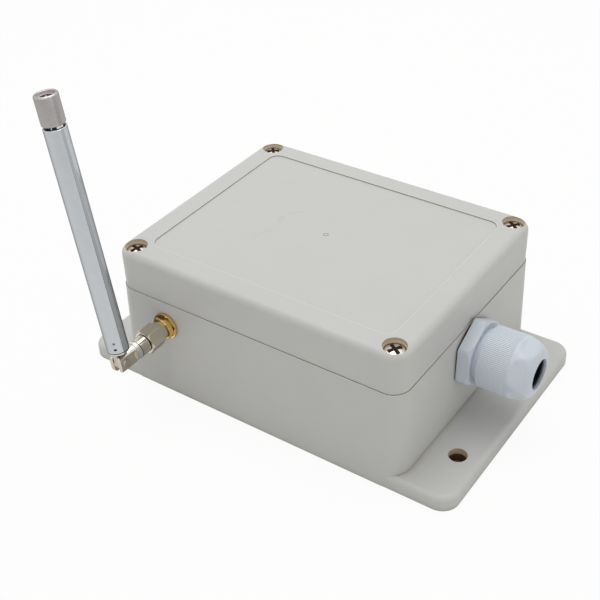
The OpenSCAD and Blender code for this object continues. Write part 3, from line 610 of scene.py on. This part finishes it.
def lathe(name, body, place, profile, materials, marks=None, steps=72):
    """A closed profile of (radius, height) turned round the local z axis."""
    points, faces, face_marks = [], [], []
    count = len(profile)
    for step in range(steps):
        angle = 2 * math.pi * step / steps
        points += [place @ Vector((r * math.cos(angle), r * math.sin(angle), z)) for r, z in profile]
    for step in range(steps):
        here, there = step * count, (step + 1) % steps * count
        for k in range(count):
            j = (k + 1) % count
            if profile[k][0] == 0 and profile[j][0] == 0:
                continue
            ring = [here + k, here + j, there + j, there + k]
            if profile[k][0] == 0:
                ring = [here + k, here + j, there + j]
            elif profile[j][0] == 0:
                ring = [here + k, here + j, there + k]
            faces.append(ring)
            face_marks.append(marks[k] if marks else 0)
    return add_piece(name, body, points, faces, materials, face_marks)


def arc(centre, radius, start, stop, steps=8):
    angles = [math.radians(start + (stop - start) * k / steps) for k in range(steps + 1)]
    return [(centre[0] + radius * math.cos(a), centre[1] + radius * math.sin(a)) for a in angles]


def arc_band(inner, outer, first, last, steps):
    """Outline of a curved plate between two radii and two angles."""
    return arc((0, 0), outer, first, last, steps) + arc((0, 0), inner, last, first, steps)


def ring_profile(inner, outer, low, high):
    return [(inner, low), (outer, low), (outer, high), (inner, high)]


def round_rect(half, corner, grow):
    """Outline of a rounded rectangle, moved outwards by grow."""
    outline = []
    for turn, (sx, sy) in enumerate(((1, 1), (-1, 1), (-1, -1), (1, -1))):
        centre = (sx * (half[0] - corner), sy * (half[1] - corner))
        outline += arc(centre, corner + grow, 90 * turn, 90 * turn + 90)
    return outline


def strip(name, body, slot, outer, inner, low, high, material):
    """A closed band between two level outlines of equally many points."""
    place = Matrix.Scale(MM, 4)
    count = len(outer)
    points = [place @ Vector((x, y, z)) for outline, z in
              ((outer, low), (outer, high), (inner, high), (inner, low)) for x, y in outline]
    faces = []
    for k in range(count):
        j = (k + 1) % count
        for ring in range(4):
            a, b = ring * count, (ring + 1) % 4 * count
            faces.append([a + k, a + j, b + j, b + k])
    return add_piece(name, body, points, faces, [material])


def slab(name, body, outline, low, high, material, place):
    """A plate with a polygon outline."""
    count = len(outline)
    points = [place @ Vector((x, y, z)) for z in (low, high) for x, y in outline]
    faces = [list(range(count))[::-1], list(range(count, 2 * count))]
    faces += [[k, (k + 1) % count, count + (k + 1) % count, count + k] for k in range(count)]
    return add_piece(name, body, points, faces, [material], smooth=False)


def side_letters(sx, sy):
    """r or l for right or left, then b or f for back or front."""
    return "rl"[sx < 0] + "bf"[sy < 0]


# Enclosure

def add_rim_line(name, half, corner, grows, levels, material):
    """A line round the enclosure, between two outlines and two heights."""
    outer, inner = (round_rect(half, corner, grow) for grow in grows)
    strip(name, "case", "case_plastic", outer, inner, *levels, material)


def add_rim_lines(looks):
    """The painted shade line in the parting gap, the painted highlight on the edge under it, and the painted
    highlight on the lid panel's edge.
    """
    add_rim_line("parting_painted_shade", LID_HALF, LID_CORNER, (0.2, -0.02), (PARTING_Z + 0.003, PARTING_Z + 0.06),
                 looks["gate_ring_and_painted_seam_shade"])
    add_rim_line("parting_painted_highlight", LID_HALF, LID_CORNER, (0.33, 0.24), (PARTING_Z - 0.22, PARTING_Z + PROUD),
                 looks["gate_nub_and_painted_highlight"])
    add_rim_line("panel_painted_highlight", PANEL_HALF, PANEL_CORNER, (0.32, 0.03), (LID_TOP - 0.05, LID_TOP + 0.015),
                 looks["gate_nub_and_painted_highlight"])


def add_gate_mark(looks):
    """The mark of the moulding gate, in the middle of the lid."""
    place = upright_frame(0, 0, PANEL_Z)
    ring_in, ring_out, nub_r = 0.62, 0.9, 0.3
    sunk, rim, crown = -0.01, 0.014, 0.02
    lathe("gate_ring", "case", place, ring_profile(ring_in, ring_out, sunk, rim),
          [looks["gate_ring_and_painted_seam_shade"]], steps=32)
    lathe("gate_nub", "case", place, [(0, sunk), (nub_r, sunk), (nub_r, rim), (0, crown)],
          [looks["gate_nub_and_painted_highlight"]], steps=24)


def add_scuffs(looks):
    """Faint scuffs on the lid, as thin ribbons along their paths."""
    place = upright_frame(0, 0, PANEL_Z)
    sunk, proud = -0.01, 0.004
    points, faces = [], []
    for path in SCUFF_PATHS:
        first = len(points)
        for x, y, half_width in path:
            for level in (sunk, proud):
                points += [place @ Vector((x + half_width, y, level)),
                           place @ Vector((x - half_width, y, level))]
        last = len(points) - 4
        for here in range(first, last, 4):
            faces += [[here + i, here + 4 + i, here + 4 + j, here + j]
                      for i, j in ((0, 1), (1, 3), (3, 2), (2, 0))]
        faces += [[end + i for i in (0, 1, 3, 2)] for end in (first, last)]
    add_piece("lid_scuff", "case", points, faces, [looks["scuff"]], smooth=False)


def add_screw_crosses(looks):
    """The shade in the lid screws' cross recesses."""
    star = []
    for k in range(0, 360, 90):
        star += [(CROSS_R * math.cos(a), CROSS_R * math.sin(a))
                 for a in (math.radians(k) + math.radians(side) for side in (-CROSS_ARM, 0, CROSS_ARM))]
        throat = math.radians(k + 45)
        star.append((CROSS_THROAT_R * math.cos(throat), CROSS_THROAT_R * math.sin(throat)))
    for (sx, sy), turn in SCREW_TURNS.items():
        place = upright_frame(sx * SCREW_AT[0], sy * SCREW_AT[1], SCREW_SEAT, turn)
        slab(f"screw_cross_{side_letters(sx, sy)}", "case", star, SCREW_HEAD_H - CROSS_DEPTH,
             SCREW_HEAD_H + PROUD, looks["shade_brown"], place)


def add_ear_shades(looks):
    """The shade on the walls of the ear holes."""
    profile = ring_profile(EAR_HOLE_R - 0.06, EAR_HOLE_R - 0.005, 0.02, EAR_SHADE_TOP)
    for sx in (-1, 1):
        for sy in (-1, 1):
            place = upright_frame(sx * EAR_HOLE[0], sy * EAR_HOLE[1], 0)
            lathe(f"ear_hole_shade_{side_letters(sx, sy)}", "case", place, profile,
                  [looks["hole_brown"]], steps=40)


# Cable gland

def nose_radius(height, angle):
    """Radius of the dome nut's nose: a rounded front, cut by six leaning flats with a short shoulder."""
    smooth, mouth = NUT_R - 0.05, NUT_MOUTH_R + 0.1
    rounding = smooth - mouth
    into = height - (NUT_END - rounding)
    dome = smooth if into <= 0 else mouth + math.sqrt(max(0, rounding ** 2 - into ** 2))
    past = height - FLAT_AT
    if past <= 0:
        return dome
    lean = math.tan(math.radians(FLAT_LEAN))
    flat = smooth - FLAT_DEPTH * min(1, past / FLAT_RAMP) - max(0, past - FLAT_RAMP) * lean
    turn = (math.degrees(angle) - FLAT_TURN + 30) % 60 - 30
    cut = flat / math.cos(math.radians(turn))
    gap = max(0, FLAT_SOFT - abs(dome - cut)) / FLAT_SOFT
    return min(dome, cut) - gap ** 2 * FLAT_SOFT / 4


def add_dome_nut(looks):
    """Ribbed nut with spanner flats on its nose; angles run from -Y towards +Z."""
    place = own_frame(GLAND, (0, -1, 0), (0, 0, 1), (1, 0, 0))
    pitch = 2 * math.pi / NUT_RIBS
    angles, on_top = [], []
    for k in range(NUT_RIBS):
        for share, top in ((0, True), (0.6, True), (0.7, False), (0.9, False)):
            angles.append((k + share) * pitch)
            on_top.append(top)
    count = len(angles)
    root = NUT_R - RIB_DEPTH
    ribs = [NUT_R if top else root for top in on_top]
    # Each ring's height and radii; the faces from the two ribbed rings on to the next are ribs
    ribbed = (2, 3)
    rings = [(NUT_AT, [NUT_BORE_R] * count), (NUT_AT, [root - RIB_CHAMFER] * count),
             (NUT_AT + 0.02, [r - RIB_CHAMFER for r in ribs]), (NUT_AT + 0.3, ribs), (NUT_RIB_END, ribs)]
    rings += [(height, [nose_radius(height, angle) for angle in angles]) for height in NOSE_HEIGHTS]
    rings += [(height, [radius] * count) for height, radius in (
        (NUT_END - 0.03, NUT_MOUTH_R + 0.02), (NUT_END - 0.12, NUT_MOUTH_R), (NUT_MOUTH_REAR, NUT_MOUTH_R),
        (NUT_BORE_END, NUT_BORE_R))]
    points = [place @ Vector((r * math.cos(a), r * math.sin(a), height))
              for height, radii in rings for r, a in zip(radii, angles)]
    # The ribs' faces take painted shade in their valleys and painted light on their crests
    plain, valley, crest = 0, 1, 2
    faces, marks = [], []
    for ring in range(len(rings)):
        here, there = ring * count, (ring + 1) % len(rings) * count
        for k in range(count):
            j = (k + 1) % count
            faces.append([here + k, here + j, there + j, there + k])
            rib = crest if on_top[k] and on_top[j] else valley
            marks.append(rib if ring in ribbed else plain)
    nut = add_piece("dome_nut_shell", "gland_nut", points, faces,
                    [looks["gland_nylon"], looks["valley_painted_shade"], looks["crest_painted_light"]], marks)
    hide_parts("gland_dome_nut")


# Antenna connector

def add_coupling_details(looks):
    """Painted glints on the coupling nut's edges and front rim, and painted shade as a dark groove line at
    its rear.
    """
    place = connector_frame()
    edge_r, inset = 0.09, 0.06
    rim_in, rim_out = 3.5, 3.85
    groove_in, groove_out = 3.3, 3.58
    reach = COUPLING_HEX / 2 / math.cos(math.radians(30)) - inset
    for k in range(6):
        angle = math.radians(60 * k + COUPLING_TURN)
        centre = Vector((math.cos(angle), math.sin(angle), 0)) * reach
        octagon = arc(centre, edge_r, 0, 315, 7)
        slab(f"coupling_corner_glint_{k + 1}", "coupling", octagon, COUPLING_REAR,
             COUPLING_FRONT - 0.35, looks["painted_glint_chrome"], place)
    lathe("coupling_front_glint", "coupling", place,
          ring_profile(rim_in, rim_out, COUPLING_FRONT - 0.05, COUPLING_FRONT + 0.03),
          [looks["painted_glint_chrome"]])
    lathe("coupling_rear_shade", "coupling", place,
          ring_profile(groove_in, groove_out, COUPLING_REAR - 0.35, COUPLING_REAR - 0.1),
          [looks["painted_shade_line"]])


def add_barrel_details(looks):
    """A painted dark reflection and a painted glint along the barrel."""
    place = connector_frame()
    for name, first, last, look in (
            ("barrel_dark_reflection", 57.5, 63.5, "painted_shade_line"), ("barrel_glint", 47, 53, "painted_glint_chrome")):
        outline = arc_band(BARREL_R - 0.1, BARREL_R, first, last, 4)
        slab(name, "case", outline, BARREL_FROM, BARREL_TO, looks[look], place)


def add_elbow_details(looks):
    """Painted shade lines along the elbow's four edges, and two painted glints along its top."""
    place = connector_frame(LEAN)
    left, right, half = 0.08, 0.02, 0.06
    glint_at, glint_half = 25.5, 4.5
    for side in (-1, 1):
        letter = "rl"[side < 0]
        for level in (-1, 1):
            x, y = side * ELBOW_HALF[0], level * ELBOW_HALF[1]
            outline = [(x - left, y - half), (x + right, y - half),
                       (x + right, y + half), (x - left, y + half)]
            slab(f"elbow_shade_line_{letter}{'tb'[level < 0]}", "swivel", outline, ELBOW_FROM,
                 ELBOW_TO + 0.2, looks["painted_shade_line"], place)
        middle = 90 - side * glint_at
        outline = arc_band(ELBOW_R - 0.11, ELBOW_R, middle - glint_half, middle + glint_half, 4)
        slab(f"elbow_glint_{letter}", "swivel", outline, ELBOW_FROM, ELBOW_TO,
             looks["painted_glint_chrome"], place)


# Antenna

def add_cap(looks):
    """The cap with its threaded well, painted inside with highlight and shade, and the screw's tip at the
    bottom of it in the bright metal of the painted glints.
    """
    place = mast_frame()
    lip = CAP_LIP_R
    outer = [(CAP_BORE_R, CAP_AT), (CAP_R - 0.35, CAP_AT)]
    outer += arc((CAP_R - 0.4, CAP_AT + 0.4), 0.4, -80, 0, 5)
    outer += arc((CAP_R - CAP_SHOULDER, CAP_TOP - CAP_SHOULDER), CAP_SHOULDER, 0, 86, 10)
    outer += arc((lip + 0.3, CAP_TOP - 0.3), 0.3, 96, 180, 6)
    # Depth under the rim, radius, and what covers the surface down to the next one: nickel, painted
    # highlight, a painted shade line or the painted shade at the bottom
    nickel, bright, line, bottom = 0, 1, 2, 3
    well = [(0.34, lip, bright), (0.52, lip - 0.05, line), (0.54, lip, line), (0.62, lip - 0.02, line),
            (0.64, lip - 0.08, bright), (0.8, lip - 0.14, line), (0.82, lip - 0.1, line),
            (0.9, lip - 0.12, line), (0.92, lip - 0.18, bright), (1.1, lip - 0.3, line),
            (1.18, lip - 0.5, bottom), (1.2, 0, bottom), (CAP_BORE_DEPTH, 0, bottom),
            (CAP_BORE_DEPTH, CAP_BORE_R, nickel)]
    profile = outer + [(radius, CAP_TOP - depth) for depth, radius, _ in well]
    marks = [nickel] * len(outer) + [mark for _, _, mark in well]
    cap = lathe("cap_shell", "tip", place, profile,
                [looks["cap_nickel"], looks["well_painted_highlight"], looks["well_ring_painted_shade"], looks["well_bottom_painted_shade"]], marks)
    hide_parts("antenna_cap")
    seat = CAP_TOP - 1.25
    lathe("cap_tip_screw", "tip", place,
          [(0, seat), (0.4, seat), (0.4, seat + 0.2), (0.25, seat + 0.4), (0, seat + 0.45)],
          [looks["painted_glint_chrome"]], steps=32)


def add_cap_neck(looks):
    """The painted shade ring between tube and cap, with two painted glints."""
    place = mast_frame()
    bore_r = 1.5
    lathe("cap_neck", "tip", place,
          ring_profile(bore_r, NECK_R, MAST_TOP + 0.45, CAP_AT + 0.1), [looks["painted_shade_chrome"]])
    for name, first, last in (("neck_glint", -30, 8), ("neck_spark", -60, -56)):
        outline = arc_band(NECK_R - 0.1, NECK_R + 0.04, first, last, 8)
        slab(name, "tip", outline, MAST_TOP + 0.5, CAP_AT + 0.05,
             looks["painted_glint_chrome"], place)


def add_tube_ends(looks):
    """The tube's rounded mouth, and at its foot a groove in painted shade and a rolled edge in painted
    highlight.
    """
    place = mast_frame()
    lip = 0.3
    lathe("tube_mouth", "mast", place,
          [(MAST_R - 0.4, MAST_TOP - 0.02)] + arc((MAST_R - lip, MAST_TOP), lip, 0, 75, 5)
          + [(MAST_R - 0.4, MAST_TOP + lip)], [looks["tube_chrome"]])
    lathe("foot_painted_shade", "mast", place,
          ring_profile(MAST_R - 0.1, MAST_R + PROUD, MAST_FOOT + 0.5, MAST_FOOT + 0.78),
          [looks["painted_shade_chrome"]])
    lathe("rolled_foot_highlight", "mast", place,
          [(MAST_R - 0.25, MAST_FOOT + 0.02)] + arc((MAST_R - 0.2, MAST_FOOT + 0.24), 0.215, -90, 90, 6)
          + [(MAST_R - 0.25, MAST_FOOT + 0.46)], [looks["painted_glint_chrome"]])


def add_foot_marks(looks):
    """Painted shade of the punched hole and the dimple near the tube's foot, as small dark buttons that stand
    just proud.
    """
    facing = math.radians(MARKS_FACE)
    out = Vector((math.cos(facing), math.sin(facing), 0))
    side = Vector((-math.sin(facing), math.cos(facing), 0))
    up = Vector((0, 0, 1))
    turn = Matrix((side, up, out)).transposed().to_4x4()
    thick = 0.16
    for name, height, radius, depth, look in (
            ("punch_painted_shade", 2.4, 0.52, 0.01, "black_painted_shade"), ("dimple", 4.7, 0.42, 0.02, "grey_painted_shade")):
        centre = out * (MAST_R - thick) + Vector((0, 0, MAST_FOOT + height))
        place = mast_frame() @ Matrix.Translation(centre) @ turn
        rim = thick - depth - 0.5 * radius ** 2 / MAST_R + 0.03
        lathe(name, "mast", place, [(0, 0), (radius, 0), (radius, rim), (0, thick + 0.01)],
              [looks[look]], steps=24)


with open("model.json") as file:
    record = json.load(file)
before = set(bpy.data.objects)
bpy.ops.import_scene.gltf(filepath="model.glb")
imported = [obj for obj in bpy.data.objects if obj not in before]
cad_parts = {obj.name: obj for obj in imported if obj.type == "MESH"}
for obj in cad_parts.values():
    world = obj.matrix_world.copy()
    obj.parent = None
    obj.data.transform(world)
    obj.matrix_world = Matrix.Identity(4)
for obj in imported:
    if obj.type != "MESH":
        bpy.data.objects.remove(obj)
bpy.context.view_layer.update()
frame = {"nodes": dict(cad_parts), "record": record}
make_camera()
make_world()
make_floor()
for lamp in LAMPS:
    make_lamp(*lamp)
make_flags()
make_floor_shade()
looks = make_looks()
finish_nodes(frame, looks)
for add_details in (add_rim_lines, add_gate_mark, add_scuffs, add_screw_crosses, add_ear_shades, add_dome_nut,
                    add_coupling_details, add_barrel_details, add_elbow_details, add_cap, add_cap_neck,
                    add_tube_ends, add_foot_marks):
    add_details(looks)

bpy.context.scene.view_settings.view_transform = "Standard"
